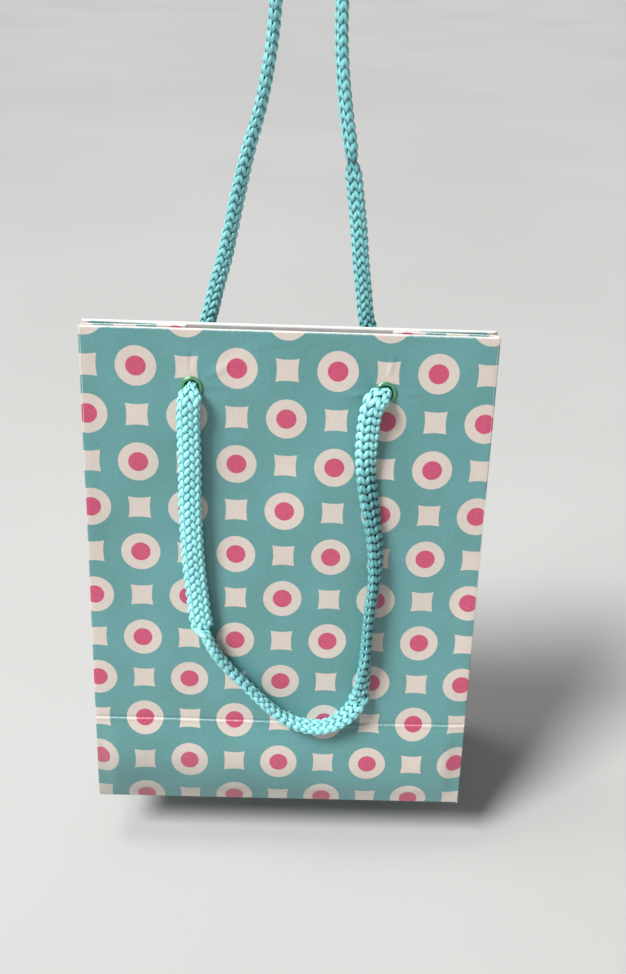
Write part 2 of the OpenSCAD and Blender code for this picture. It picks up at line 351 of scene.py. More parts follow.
def cord_yarn():
    """Shiny synthetic yarn: fine filaments along each strand, with painted sheen along them, painted shade
    down between the strands and painted highlight on their crests.
    """
    n = Nodes("cord_yarn")
    uv = n.uv("yarn")[0]
    filament = n.noise(n.scaled(uv, (14.0, 0.9, 1.0)), 1.0, 3, 0.6)
    cloud = n.noise(uv, 0.12, 2)
    height = n.attribute("height")
    dye_and_painted_shade = n.attribute("dye_and_painted_shade")
    # painted shade down between the strands and painted highlight on their crests, by each strand's height
    colour = n.mix(n.ramp(height, 0.30, 0.98), (0.030, 0.430, 0.480), (0.410, 0.985, 1.000))
    # painted sheen in streaks along the filaments
    colour = n.mix(n.ramp(filament, 0.40, 0.75, 0.0, 0.3), colour, (0.64, 0.99, 1.00))
    # the colour of the painted shade, darker still down between the strands
    deep = n.mix(n.ramp(height, 0.40, 1.0), (0.006, 0.080, 0.085), (0.120, 0.420, 0.440))
    # a random dye tone for each strand plus painted shade turn the yarn towards the colour of the shade
    colour = n.mix(dye_and_painted_shade, colour, deep)
    colour = n.mix(n.ramp(cloud, 0.35, 0.7, 0.0, 0.12), colour, (0.06, 0.38, 0.42))
    relief = n.bump(filament, 0.10 * MM, 0.55)
    rough = n.ramp(filament, 0.2, 0.8, 0.20, 0.36)
    return n.finish(
        Base_Color=colour,
        Roughness=rough,
        Normal=relief,
        Sheen_Weight=0.15,
        Sheen_Roughness=0.4,
        Sheen_Tint=(0.75, 1.0, 1.0, 1.0),
        Anisotropic=0.35,
        Specular_IOR_Level=0.6,
        Coat_Weight=0.35,
        Coat_Roughness=0.28,
    )


def floor_paint():
    n = Nodes("floor_paint")
    cloud = n.noise(n.place(), 3.0, 3)
    colour = n.mix(n.ramp(cloud, 0.3, 0.7), (0.55, 0.545, 0.53), (0.58, 0.575, 0.56))
    return n.finish(Base_Color=colour, Roughness=0.75)


# ---------------------------------------------------------------- mesh helpers


def make_mesh(name, points, faces, materials, uv=None, uv_name="print", values=None, slots=None):
    """A mesh object from standing-bag points. values holds one number a point for each attribute."""
    mesh = bpy.data.meshes.new(name)
    mesh.from_pydata(row(points).tolist(), [], faces)
    for attribute, numbers in (values or {}).items():
        layer = mesh.attributes.new(attribute, "FLOAT", "POINT")
        layer.data.foreach_set("value", np.asarray(numbers, np.float32).ravel())
    if uv is not None:
        layer = mesh.uv_layers.new(name=uv_name)
        corner = np.zeros(len(mesh.loops), np.int64)
        mesh.loops.foreach_get("vertex_index", corner)
        layer.data.foreach_set("uv", np.asarray(uv, np.float32)[corner].ravel())
    for material in materials:
        mesh.materials.append(material)
    if slots is not None:
        mesh.polygons.foreach_set("material_index", np.asarray(slots, np.int32))
    mesh.polygons.foreach_set("use_smooth", np.ones(len(mesh.polygons), bool))
    piece = bpy.data.objects.new(name, mesh)
    bpy.context.collection.objects.link(piece)
    return piece


def tidy_mesh(piece, sharp_degrees=None, recalculate=False):
    """Merges doubled points, drops faces with no area and marks sharp edges."""
    work = bmesh.new()
    work.from_mesh(piece.data)
    bmesh.ops.remove_doubles(work, verts=work.verts, dist=0.004 * MM)
    bmesh.ops.dissolve_degenerate(work, edges=work.edges, dist=0.002 * MM)
    if recalculate:
        bmesh.ops.recalc_face_normals(work, faces=work.faces)
    if sharp_degrees:
        limit = math.radians(sharp_degrees)
        for edge in work.edges:
            edge.smooth = len(edge.link_faces) != 2 or edge.calc_face_angle(0) < limit
    work.to_mesh(piece.data)
    work.free()
    return piece


def grid_faces(rows, columns, flip=False, keep=None):
    faces = []
    for i in range(rows - 1):
        for j in range(columns - 1):
            if keep is not None and not keep[i, j]:
                continue
            a = i * columns + j
            face = (a, a + 1, a + columns + 1, a + columns)
            faces.append(face[::-1] if flip else face)
    return faces


def apply_modifiers(piece):
    graph = bpy.context.evaluated_depsgraph_get()
    made = bpy.data.meshes.new_from_object(piece.evaluated_get(graph), depsgraph=graph)
    piece.modifiers.clear()
    piece.data = made
    return piece


def thicken(piece, thickness):
    """Gives a sheet its thickness, inward from its printed face. The new faces are bare paper."""
    modifier = piece.modifiers.new("thickness", "SOLIDIFY")
    modifier.thickness = thickness * MM
    modifier.offset = -1
    modifier.use_even_offset = False
    modifier.material_offset = 1
    modifier.material_offset_rim = 1
    return apply_modifiers(piece)


def steps(*stretches):
    """Grid lines: each stretch is (start, end, spacing), and the next begins where it ends."""
    out = []
    for start, end, spacing in stretches:
        count = max(1, round(abs(end - start) / spacing))
        out += [start + (end - start) * k / count for k in range(count)]
    out.append(stretches[-1][1])
    return np.array(out)


# ---------------------------------------------------------------- the panels' relief

# Small creases that the cords have pulled into the paper: across, down, direction in degrees
# (0 is right and 90 is up), length, half width and height in mm.
PULLED = [
    (-31.5, 13.6, 140, 9, 0.7, 0.16),
    (-28.5, 12.6, 84, 10, 0.6, -0.14),
    (-25.0, 14.6, 28, 15, 0.9, 0.20),
    (-24.4, 17.6, -8, 9, 0.9, -0.18),
    (-20.0, 9.5, 38, 13, 1.1, -0.16),
    (24.8, 13.4, 128, 17, 0.7, -0.24),
    (22.6, 10.5, 116, 10, 0.6, 0.16),
    (28.6, 12.4, 78, 9, 0.8, 0.15),
    (31.8, 14.6, 34, 14, 1.0, -0.20),
    (23.6, 17.4, 186, 10, 1.1, 0.20),
    (33.0, 17.2, 2, 9, 0.9, 0.14),
    (-9.0, 6.5, 12, 17, 1.2, -0.12),
    (6.0, 4.0, 168, 12, 1.0, 0.10),
    (44.0, 8.0, 64, 8, 1.0, 0.10),
    (-47.0, 9.0, 118, 9, 1.0, 0.10),
    (-12.0, 66.0, 8, 16, 1.2, 0.08),
    (9.0, 57.0, -20, 9, 0.5, -0.07),
    (38.0, 134.0, -52, 12, 1.6, -0.14),
    (-44.0, 141.0, 18, 18, 2.4, -0.18),
]


def soft_noise(x, h, size, seed):
    """Smooth noise over a panel, about -1 to 1, with features of that size in mm."""
    flat = np.stack([np.ravel(x), np.ravel(h)], -1) / size
    values = [noise.noise((a, b, seed)) for a, b in flat]
    return np.reshape(values, np.shape(x)) * 1.6


def relief(x, h, face):
    """How far a panel's paper stands out from its flat face, in mm."""
    seed = 3.7 if face == FRONT else 11.3
    inner = smoothstep(0, 5, h) * smoothstep(HALF_W, HALF_W - 7, np.abs(x))
    inner = inner * smoothstep(PANEL_L, PANEL_L - 6, h)
    out = 0.75 * soft_noise(x, h, 46, seed) + 0.24 * soft_noise(x, h, 15, seed + 5)
    out = out * inner
    for x0, h0, direction, length, half, height in PULLED:
        mirror = 1 if face == FRONT else -1
        ux, uh = math.cos(math.radians(direction)) * mirror, -math.sin(math.radians(direction))
        along = (x - x0 * mirror) * ux + (h - h0) * uh
        aside = (x - x0 * mirror) * uh - (h - h0) * ux
        spread = half * (0.55 + 0.9 * np.clip(along / length, 0, 1.2))
        fade = smoothstep(-1.5, 2.0, along) * smoothstep(length, length * 0.35, along)
        out = out + 1.7 * height * fade * np.exp(-((aside / spread) ** 2)) * smoothstep(0.2, 2.5, h)
    dip = np.abs(h - CREASE_H) / 0.45
    out = out - 0.24 * np.exp(-(dip**2)) + 0.16 * np.exp(-(((h - CREASE_H - 0.8) / 0.5) ** 2))
    out = out + 1.9 * np.sin(np.pi * np.clip((h - CREASE_H) / (PANEL_L - CREASE_H), 0, 1)) * inner
    out = np.where(h < HEM_L + 4, np.maximum(out, -0.22), out)  # the card strip lies behind it
    near = [np.hypot(x - side * EYELET_X, h - EYELET_H) for side in (LEFT, RIGHT)]
    hold = smoothstep(3.4, 6.5, np.minimum(*near))
    return out * hold


# ---------------------------------------------------------------- panels with their turned-in hems

SIDE_R = 0.45  # rounding of the side folds
MOUTH_R = WALL_T / 2
FOOT_R = 0.75


def wear_and_highlight_of(x, h):
    """How much of the ink is rubbed off a panel's folds, plus painted highlight over the mouth fold and along
    the storage crease.
    """
    # rubbed ink and painted highlight over the mouth fold
    mouth = np.exp(-(((h + 0.70) / 1.25) ** 2)) * 1.15
    side = np.exp(-((HALF_W + 0.35 - np.abs(x)) / 0.25) ** 2) * 0.12
    # rubbed ink and painted highlight along the crease
    crease = np.exp(-(((h - CREASE_H - 0.35) / 0.30) ** 2)) * 0.62
    foot = np.exp(-((h - PANEL_L - 0.2) / 0.4) ** 2) * 0.6
    return np.clip(np.maximum.reduce([mouth, side, crease, foot]), 0, 1)


def panel_sheet(name, face, body, materials, nodes):
    """One sheet: from under the base fold, up the face, over the card strip and down inside."""
    columns = steps((-59.55, -32, 1.4), (-32, -24, 0.45), (-24, 24, 1.5), (24, 32, 0.45), (32, 59.55, 1.4))
    turn = np.radians([20, 40, 60, 80])
    bend = SIDE_R * np.sin(turn)
    x = np.concatenate([-(59.55 + bend[::-1]), columns, 59.55 + bend])
    drop = SIDE_R * (np.cos(turn) - 1)
    fall = np.concatenate([drop[::-1], np.zeros(len(columns)), drop])

    face_h = steps(
        (PANEL_L - 1.2, 152, 0.8), (152, CREASE_H + 2.5, 1.3), (CREASE_H + 2.5, CREASE_H - 2, 0.15),
        (CREASE_H - 2, 26, 1.5), (26, 21, 1.0), (21, 13, 0.45), (13, 2.4, 0.8), (2.4, MOUTH_R, 0.4),
    )
    rows = []  # print height, out, down on the panel, and how much the sides round
    corner = math.pi / 2 + LEAN  # the fold between the base and the panel turns by this
    reach = FOOT_R * math.tan(corner / 2)
    for k in range(6):  # the foot's rounding, from under the base
        turned = corner * (1 - k / 6)
        h = PANEL_L - reach + FOOT_R * math.sin(turned)
        out = -FOOT_R * (1 - math.cos(turned))
        rows.append((PANEL_L + reach * (1 - 2 * k / 6), out, h, 0.15 * k))
    for h in face_h:
        rows.append((h, 0.0, h, 1.0))
    for k in range(1, 13):  # over the card strip
        turned = math.pi * k / 12
        rows.append((MOUTH_R - MOUTH_R * turned, -MOUTH_R * (1 - math.cos(turned)),
                     MOUTH_R - MOUTH_R * math.sin(turned), 1 - k / 12))
    for h in steps((MOUTH_R + 0.6, 12, 1.2), (12, 22, 0.6), (22, HEM_L, 1.6)):
        rows.append((-h + 0.1, -WALL_T, h, 0.0))
    rows = np.array(rows)
    print_h, out, h, rounding = (rows[:, k][:, None] for k in range(4))

    xs = x[None, :] * (1 - (1 - rounding) * 0.0075)
    on_face = smoothstep(-0.5, 0.0, out)
    shape = (len(rows), len(x))
    bulge = relief(np.broadcast_to(x[None, :], shape), np.broadcast_to(h, shape), face)
    d = out + fall[None, :] * rounding + bulge * on_face
    points = on_panel(xs, np.broadcast_to(h, d.shape), d, face)

    uv = np.stack([np.broadcast_to(x[None, :] * (1 if face == FRONT else -1), d.shape),
                   np.broadcast_to(print_h, d.shape)], -1)
    wear_and_highlight = wear_and_highlight_of(np.broadcast_to(x[None, :], d.shape), np.broadcast_to(print_h, d.shape))
    middle_x = (xs[:-1, :-1] + xs[:-1, 1:] + xs[1:, :-1] + xs[1:, 1:]) / 4
    middle_h = (h[:-1] + h[1:]) / 2
    keep = np.ones(middle_x.shape, bool)
    for side in (LEFT, RIGHT):
        keep &= np.hypot(middle_x - side * EYELET_X, middle_h - EYELET_H) > HOLE_R + 0.55
    faces = grid_faces(len(rows), len(x), flip=face == BACK, keep=keep)
    piece = make_mesh(name, points.reshape(-1, 3), faces, materials, uv.reshape(-1, 2), values={"wear_and_highlight": wear_and_highlight})
    work = bmesh.new()
    work.from_mesh(piece.data)
    bmesh.ops.delete(work, geom=[v for v in work.verts if not v.link_faces], context="VERTS")
    work.to_mesh(piece.data)
    work.free()
    thicken(piece, PAPER_T)
    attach(piece, body)
    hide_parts(*nodes)
    return piece


# ---------------------------------------------------------------- gussets

FOOT_H = HALF_DEPTH  # the foot's triangle reaches this far up the middle crease, on the paper
FOOT_POINT = np.array([15.75, 25.4])  # how far in, and how high, that point of the crease is
GUSSET_HEM = 0.74  # how far inside the leaf its turned-in paper lies
HEM_R = GUSSET_HEM / 2


def side_edge(up):
    """A leaf's own edge by the side fold, on the right and at the front; up is along the fold."""
    room = 0.42 + 1.65 * smoothstep(PANEL_L - HEM_L - 25, PANEL_L - HEM_L + 2, up)
    y = -HALF_DEPTH + up * SIN + room / COS
    return np.stack([np.full_like(up, HALF_W - 0.35), y, up * COS], -1)


def crease_point(up):
    """The middle crease; under the foot's point it is the middle line of the foot's triangle."""
    share = np.clip(up / FOOT_H, 0, 1)
    z = np.where(up < FOOT_H, FOOT_POINT[1] * share,
                 FOOT_POINT[1] + (up - FOOT_H) * (MOUTH_Z - FOOT_POINT[1]) / (PANEL_L - FOOT_H))
    half = HALF_DEPTH - z * math.tan(LEAN)
    inward = np.where(up < FOOT_H, FOOT_POINT[0] * share, np.sqrt(np.maximum(0, HALF_DEPTH**2 - half**2)))
    return np.stack([HALF_W - inward, np.full_like(up, -0.03), z], -1)


def leaf_point(up, across):
    """A point of the right front leaf's printed face: up the paper, and across from the side fold."""
    share = across / HALF_DEPTH
    edge, crease = side_edge(up), crease_point(up)
    corner = side_edge(np.zeros_like(up))
    upper = edge + share[..., None] * (crease - edge)
    foot = corner + share[..., None] * (crease_point(np.zeros_like(up)) - corner)
    foot = foot + (up / FOOT_H)[..., None] * (np.array([HALF_W - FOOT_POINT[0], 0, FOOT_POINT[1]])
                                               - np.array([HALF_W, 0, 0]))
    top_edge = side_edge(np.full_like(up, FOOT_H))
    point = crease_point(np.full_like(up, FOOT_H))
    web = corner + ((up - across) / FOOT_H)[..., None] * (top_edge - corner)
    web = web + share[..., None] * (point - corner)
    out = np.where((up >= FOOT_H)[..., None], upper, np.where((across > up)[..., None], foot, web))
    bow = 0.35 * np.sin(np.pi * share) * smoothstep(FOOT_H, FOOT_H + 20, up)
    bow = bow * smoothstep(PANEL_L, PANEL_L - 25, up)
    out[..., 1] += bow
    reach = np.clip(1 - across / 1.3, 0, 1) ** 2  # at the side fold the leaf meets the panel's edge
    meet = on_panel(np.full_like(up, HALF_W - 0.03), PANEL_L - up, -0.33)
    return out + reach[..., None] * (meet - out)


def gusset_leaf(name, side, face, materials):
    """Half a gusset, from the side fold to the middle crease, with its paper turned in at the mouth."""
    foot_up = np.array([0.0, 0.6, 2, 4, 6.5, 9, 12, 15, 18, 21, 24, 26.5, 28.5, 29.6])
    heights = np.concatenate([foot_up, steps((30, 34, 1.0), (34, 120, 3.0), (120, PANEL_L - HEM_R, 2.2))])
    near = [0.0, 0.01, 0.02, 0.035, 0.055, 0.12, 0.22, 0.34, 0.46, 0.58, 0.70, 0.82, 0.92, 0.97, 1.0]
    near = np.array(near)
    across_rows = []
    for up in heights:
        diagonal = min(up, HALF_DEPTH)
        inner = diagonal + (HALF_DEPTH - diagonal) * np.linspace(0, 1, 9)[1:]
        across_rows.append(np.concatenate([near * diagonal, inner]))
    across = np.array(across_rows)
    up = np.repeat(heights[:, None], across.shape[1], 1)
    base = leaf_point(up, across)

    small = 0.4
    wide = np.clip(across, small, HALF_DEPTH - small)
    by_across = leaf_point(up, wide + small) - leaf_point(up, wide - small)
    by_up = leaf_point(up + small, across) - leaf_point(up - small, across)
    out = np.cross(by_up, by_across)
    out /= np.linalg.norm(out, axis=-1, keepdims=True)
    out *= np.where(out[..., :1] + out[..., 1:2] < 0, -1, 1)  # towards the outside of the bag
    climb = by_up / np.linalg.norm(by_up, axis=-1, keepdims=True)
    inward = -out
    last = climb[:, -1:, :]
    ahead = np.stack([-last[..., 2], np.zeros_like(last[..., 0]), last[..., 0]], -1)
    ahead /= np.linalg.norm(ahead, axis=-1, keepdims=True)
    half_way = inward[:, -1:, :] + ahead
    half_way /= np.linalg.norm(half_way, axis=-1, keepdims=True)
    inward = np.concatenate([inward, half_way, ahead], 1)
    base = np.concatenate([base, base[:, -1:, :], base[:, -1:, :]], 1)
    climb = np.concatenate([climb, last, last], 1)
    across = np.concatenate([across, across[:, -1:], across[:, -1:]], 1)

    # for each row: its place in heights, printed face in and up, bare face in and up, print height
    skins = []
    count = len(heights)
    for k in range(count):
        skins.append((k, 0.0, 0.0, PAPER_T, 0.0, PANEL_L - heights[k]))
    thin = HEM_R - PAPER_T
    for k in range(1, 9):
        turned = math.pi * k / 8
        skins.append((count - 1, HEM_R * (1 - math.cos(turned)), HEM_R * math.sin(turned),
                      HEM_R - thin * math.cos(turned), thin * math.sin(turned), HEM_R * (1 - turned)))
    for k in range(count - 2, 0, -1):
        if heights[k] < PANEL_L - HEM_L:
            break
        skins.append((k, GUSSET_HEM, 0.0, GUSSET_HEM - PAPER_T, 0.0, heights[k] - PANEL_L))
    printed, bare, uv, wear_and_highlight = [], [], [], []
    for k, p_in, p_up, b_in, b_up, h in skins:
        printed.append(base[k] + inward[k] * p_in + climb[k] * p_up)
        bare.append(base[k] + inward[k] * b_in + climb[k] * b_up)
        uv.append(np.stack([HALF_W + across[k], np.full(across.shape[1], h)], -1))
        fold = np.exp(-((HALF_DEPTH - across[k]) / 0.35) ** 2) * 0.6
        diagonal = np.exp(-((PANEL_L - h - across[k]) / 0.35) ** 2) * 0.6
        mouth = np.full(across.shape[1], math.exp(-((h + 0.2) / 0.6) ** 2) * 0.8)
        wear_and_highlight.append(np.maximum.reduce([fold, diagonal, mouth]))
    printed, bare = np.array(printed), np.array(bare)
    rows, columns = printed.shape[:2]
    loop = np.concatenate([printed, bare[:, ::-1]], 1)
    mirror = np.array([side, -face, 1.0])
    points = loop.reshape(-1, 3) * mirror
    turn_u = side * (1 if face == FRONT else -1)
    both_uv = np.concatenate([np.array(uv), np.array(uv)[:, ::-1]], 1).reshape(-1, 2) * (turn_u, 1)
    both_wear_and_highlight = np.concatenate([np.array(wear_and_highlight), np.array(wear_and_highlight)[:, ::-1]], 1).ravel()
    faces, slots = [], []
    total = 2 * columns
    for i in range(rows - 1):
        for j in range(total):
            a, b = i * total + j, i * total + (j + 1) % total
            faces.append((a, b, b + total, a + total))
            slots.append(0 if j < columns - 1 else 1)
    for i in (0, rows - 1):
        for j in range(columns - 1):
            a, b = i * total + j, i * total + total - 1 - j
            faces.append((a, b, b - 1, a + 1) if i == 0 else (a, a + 1, b - 1, b))
            slots.append(1)
    piece = make_mesh(name, points, faces, materials, both_uv, values={"wear_and_highlight": both_wear_and_highlight}, slots=slots)
    tidy_mesh(piece, sharp_degrees=28, recalculate=True)
    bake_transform(piece)
    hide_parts(name)
    return piece


# ---------------------------------------------------------------- base


def flat_sheet(name, x_reach, ys, height_at, uv_at, materials, body, nodes, corner_cut=0.0):
    """A folded-in flap of the base, printed underneath; its free edge is the last of ys."""
    shares = np.linspace(-1, 1, 81)
    points, uv, wear_and_highlight = [], [], []
    for y in ys:
        free = abs(y - ys[-1])
        reach = x_reach - max(0.0, corner_cut - free)
        for share in shares:
            x = share * reach
            lift = 0.05 * noise.noise((x / 18, y / 18, 2.5))
            points.append((x, y, height_at(y) + abs(lift)))
            uv.append(uv_at(x, y))
            wear_and_highlight.append(0.5 * math.exp(-(free / 0.3) ** 2))
    flip = ys[-1] > ys[0]
    faces = grid_faces(len(ys), len(shares), flip=flip)
    piece = make_mesh(name, np.array(points), faces, materials, np.array(uv), values={"wear_and_highlight": wear_and_highlight})
    thicken(piece, PAPER_T)
    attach(piece, body)
    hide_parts(*nodes)
    return piece


def base_flaps(printed, bare):
    depth = HALF_DEPTH - 1.0
    end = -depth + 2 * depth * 0.62
    flat_sheet("front_flap", HALF_W - 0.5, steps((-depth - 0.02, end, 1.5)), lambda y: 0.02,
               lambda x, y: (x, PANEL_L + HALF_DEPTH + y), [printed, bare], "base", ["base_front_flap"], 5.0)
    flat_sheet("back_flap", HALF_W - 0.5, steps((depth + 0.02, -end, 1.5)),
               lambda y: 0.02 + 0.36 * float(smoothstep(depth, depth - 9, y)),
               lambda x, y: (-x, PANEL_L + HALF_DEPTH - y), [printed, bare], "base", ["base_back_flap"], 5.0)


CARD_CORNER = 3  # radius of the card's corners


def base_card(card):
    """The loose card: a plate with rounded corners and soft cut edges."""
    low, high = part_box("base_card")
    reach = [(high[k] - low[k]) / 2 / MM for k in range(3)]
    middle = [(high[k] + low[k]) / 2 / MM - (BASE_X, 0, BASE_Z)[k] for k in range(3)]
    outline = []
    for cx, cy, start in ((1, 1, 0), (-1, 1, 90), (-1, -1, 180), (1, -1, 270)):
        for k in range(7):
            angle = math.radians(start + 15 * k)
            x = cx * (reach[0] - CARD_CORNER) + CARD_CORNER * math.cos(angle)
            y = cy * (reach[1] - CARD_CORNER) + CARD_CORNER * math.sin(angle)
            outline.append((x, y))
    outline = np.array(outline)
    points = []
    for height, inset in ((-1, 0.25), (-0.7, 0.0), (0.7, 0.0), (1, 0.25)):
        for x, y in outline:
            shrink = np.array([x, y]) * (1 - inset / np.hypot(x, y))
            points.append((shrink[0] + middle[0], shrink[1] + middle[1], middle[2] + reach[2] * height))
    n = len(outline)
    faces = [(i * n + k, i * n + (k + 1) % n, (i + 1) * n + (k + 1) % n, (i + 1) * n + k)
             for i in range(3) for k in range(n)]
    faces += [tuple(range(n))[::-1], tuple(range(3 * n, 4 * n))]
    piece = make_mesh("card_in_base", np.array(points), faces, [card])
    tidy_mesh(piece, sharp_degrees=40)
    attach(piece, "base")
    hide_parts("base_card")


def seam_strip(printed, bare):
    """The glued leaf inside the back panel's left edge."""
    x = np.linspace(-HALF_W + 0.6, -HALF_W + 12.5, 14)
    h = steps((PANEL_L - 4, CREASE_H + 2, 2.0), (CREASE_H + 2, CREASE_H - 2, 0.4),
              (CREASE_H - 2, HEM_L + 1, 3.0))
    xs, hs = np.meshgrid(x, h)
    d = relief(xs, hs, BACK) - PAPER_T - 0.02
    points = on_panel(xs, hs, d, BACK)
    uv = np.stack([-xs, hs], -1)
    wear_and_highlight = np.zeros(xs.shape)
    faces = grid_faces(len(h), len(x), flip=True)
    piece = make_mesh("glued_seam", points.reshape(-1, 3), faces, [printed, bare], uv.reshape(-1, 2),
                      values={"wear_and_highlight": wear_and_highlight})
    thicken(piece, PAPER_T)
    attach(piece, "back_side")
    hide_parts("side_seam")


# ---------------------------------------------------------------- eyelets


def eyelet(name, side, face, enamel):
    """A turned ring: a rolled flange outside, a barrel, and a smaller rolled rim inside the bag."""
    profile = []
    for k in range(13):  # outside roll, from the paper over the top and into the bore
        angle = math.radians(-30 + 210 * k / 12)
        profile.append((2.72 + 0.56 * math.cos(angle), 0.16 + 0.56 * math.sin(angle)))
    profile.append((2.14, -0.6))
    for k in range(11):  # inside rim
        angle = math.radians(180 + 210 * k / 10)
        profile.append((2.52 + 0.38 * math.cos(angle), -WALL_T - 0.10 + 0.34 * math.sin(angle)))
    profile.append((2.46, -WALL_T + 0.05))
    profile.append((2.46, -0.05))
    around = 56
    points = []
    for k in range(around):
        angle = 2 * math.pi * k / around
        for r, d in profile:
            x, h = side * EYELET_X + r * math.cos(angle), EYELET_H - r * math.sin(angle)
            points.append(on_panel(x, h, d, face))
    n = len(profile)
    faces = [(k * n + i, k * n + (i + 1) % n, (k + 1) % around * n + (i + 1) % n, (k + 1) % around * n + i)
             for k in range(around) for i in range(n)]
    piece = make_mesh(name + "_ring", np.array(points), faces, [enamel])
    tidy_mesh(piece, sharp_degrees=50, recalculate=True)
    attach(piece, "front_side" if face == FRONT else "back_side")
    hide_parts(name)


# ---------------------------------------------------------------- braided cord

STRANDS = 10  # in each direction
STITCH = 2.65  # length of one stitch along the cord, in mm
YARN_SHARE = 0.45  # half a strand's width, as a share of a column of stitches
YARN_DEPTH = 0.62  # its thickness, as a share of its width
WEAVE = 0.64  # how far it rises over and sinks under the others, as a share of half its width
RING_STEP = 0.5


def smooth_route(points, step):
    """Even points along a smooth curve through a route, and the distance along it."""
    p = np.asarray(points, float)
    p = np.concatenate([[2 * p[0] - p[1]], p, [2 * p[-1] - p[-2]]])
    dense = []
    for k in range(1, len(p) - 2):
        a, b, c, d = p[k - 1:k + 3]
        for t in np.linspace(0, 1, 24, endpoint=False):
            dense.append(0.5 * (2 * b + (c - a) * t + (2 * a - 5 * b + 4 * c - d) * t**2
                                + (3 * b - a - 3 * c + d) * t**3))
    dense.append(p[-2])
    dense = np.array(dense)
    reach = np.concatenate([[0], np.cumsum(np.linalg.norm(np.diff(dense, axis=0), axis=1))])
    count = max(4, round(reach[-1] / step))
    s = np.linspace(0, reach[-1], count + 1)
    return np.stack([np.interp(s, reach, dense[:, k]) for k in range(3)], -1), s


def flat_frames(line, outward, up):
    """At each point, the direction along the cord, a side direction, and the way its flat side faces.

    The flat side faces outward, except in the eyelets, where the cord runs outward itself.
    """
    along = np.gradient(line, axis=0)
    along /= np.linalg.norm(along, axis=1, keepdims=True)
    near = np.minimum(np.arange(len(line)), np.arange(len(line))[::-1])
    share = smoothstep(28, 12, near)[:, None]
    face = np.asarray(outward, float) + share * np.asarray(up, float)
    face = face - along * (face * along).sum(1, keepdims=True)
    face /= np.linalg.norm(face, axis=1, keepdims=True)
    return along, np.cross(face, along), face


def braid(name, line, s, side, face, half_width, half_thick, twist, drift, painted_shade, material, seed,
          strands=STRANDS, stitch=STITCH):
    """A flat braid: strands wind both ways, each over two and under two of the others.

    twist turns the flat section, drift moves the columns of stitches round it, and dull, from 0 to 1,
    paints shade onto the yarn.
    """
    rng = np.random.default_rng(seed)
    c, w = np.cos(twist)[:, None], np.sin(twist)[:, None]
    u, v = side * c + face * w, face * c - side * w
    turn = 4 * math.pi / (2 * strands * stitch)
    girth = 2 * math.pi * np.sqrt((half_width**2 + half_thick**2) / 2)
    yarn = YARN_SHARE * girth / strands
    points, faces, uv, height, dye_and_painted_shade = [], [], [], [], []
    ring = [(math.cos(a), math.sin(a)) for a in np.radians([0, 60, 120, 180, 240, 300])]
    gap = 2 * math.pi / strands
    for direction in (1, -1):
        for k in range(strands):
            # a random dye tone for each strand, plus the painted shade along the cord
            shade = rng.uniform(0, 0.25) + painted_shade
            angle = direction * turn * s + gap * k + (gap / 2 if direction < 0 else 0)
            over = -direction * np.cos(strands / 2 * (angle - drift))
            wave = WEAVE * yarn * over
            inset = (YARN_DEPTH + WEAVE) * yarn
            a = (half_width - inset)[:, None]
            b = (half_thick - inset)[:, None]
            ca, sa = np.cos(angle)[:, None], np.sin(angle)[:, None]
            normal = u * ca * b + v * sa * a
            normal /= np.linalg.norm(normal, axis=1, keepdims=True)
            centre = line + u * a * ca + v * b * sa + normal * wave[:, None]
            path = np.gradient(centre, axis=0)
            path /= np.linalg.norm(path, axis=1, keepdims=True)
            across = np.cross(path, normal)
            across /= np.linalg.norm(across, axis=1, keepdims=True)
            plump = (1 + 0.20 * (over - 1)) * yarn
            base = len(points)
            for q, (ru, rv) in enumerate(ring):
                wide, deep = (ru * plump)[:, None], (rv * YARN_DEPTH * plump)[:, None]
                points.append(centre + across * wide + normal * deep)
                uv.append(np.stack([np.full(len(s), q * 0.9 + k * 6.0), s + 40 * k], -1))
                height.append(0.46 + 0.36 * over + 0.18 * rv)
                dye_and_painted_shade.append(shade * np.ones(len(s)))
            n = len(s)
            for q in range(6):
                p0, p1 = (base + q) * n, (base + (q + 1) % 6) * n
                for i in range(n - 1):
                    faces.append((p0 + i, p1 + i, p1 + i + 1, p0 + i + 1))
            faces.append(tuple((base + q) * n for q in range(6))[::-1])
            faces.append(tuple((base + q) * n + n - 1 for q in range(6)))
    # the core between the strands takes the deepest painted shade, which stands in for the shade in the gaps
    core = len(points)
    sides = 12
    for q in range(sides):
        angle = 2 * math.pi * q / sides
        a, b = np.maximum(half_width - 1.3 * yarn, 0.35), np.maximum(half_thick - 1.3 * yarn, 0.3)
        points.append(line + u * (a * math.cos(angle))[:, None] + v * (b * math.sin(angle))[:, None])
        uv.append(np.stack([np.full(len(s), q * 1.1), s], -1))
        height.append(np.zeros(len(s)))
        dye_and_painted_shade.append(np.ones(len(s)))
    n = len(s)
    for q in range(sides):
        p0, p1 = (core + q) * n, (core + (q + 1) % sides) * n
        for i in range(n - 1):
            faces.append((p0 + i, p1 + i, p1 + i + 1, p0 + i + 1))
    faces.append(tuple((core + q) * n for q in range(sides))[::-1])
    faces.append(tuple((core + q) * n + n - 1 for q in range(sides)))
    piece = make_mesh(name, np.concatenate(points), faces, [material], np.concatenate(uv), uv_name="yarn",
                      values={"height": np.concatenate(height), "dye_and_painted_shade": np.concatenate(dye_and_painted_shade)})
    work = bmesh.new()
    work.from_mesh(piece.data)
    bmesh.ops.recalc_face_normals(work, faces=work.faces)
    work.to_mesh(piece.data)
    work.free()
    return piece


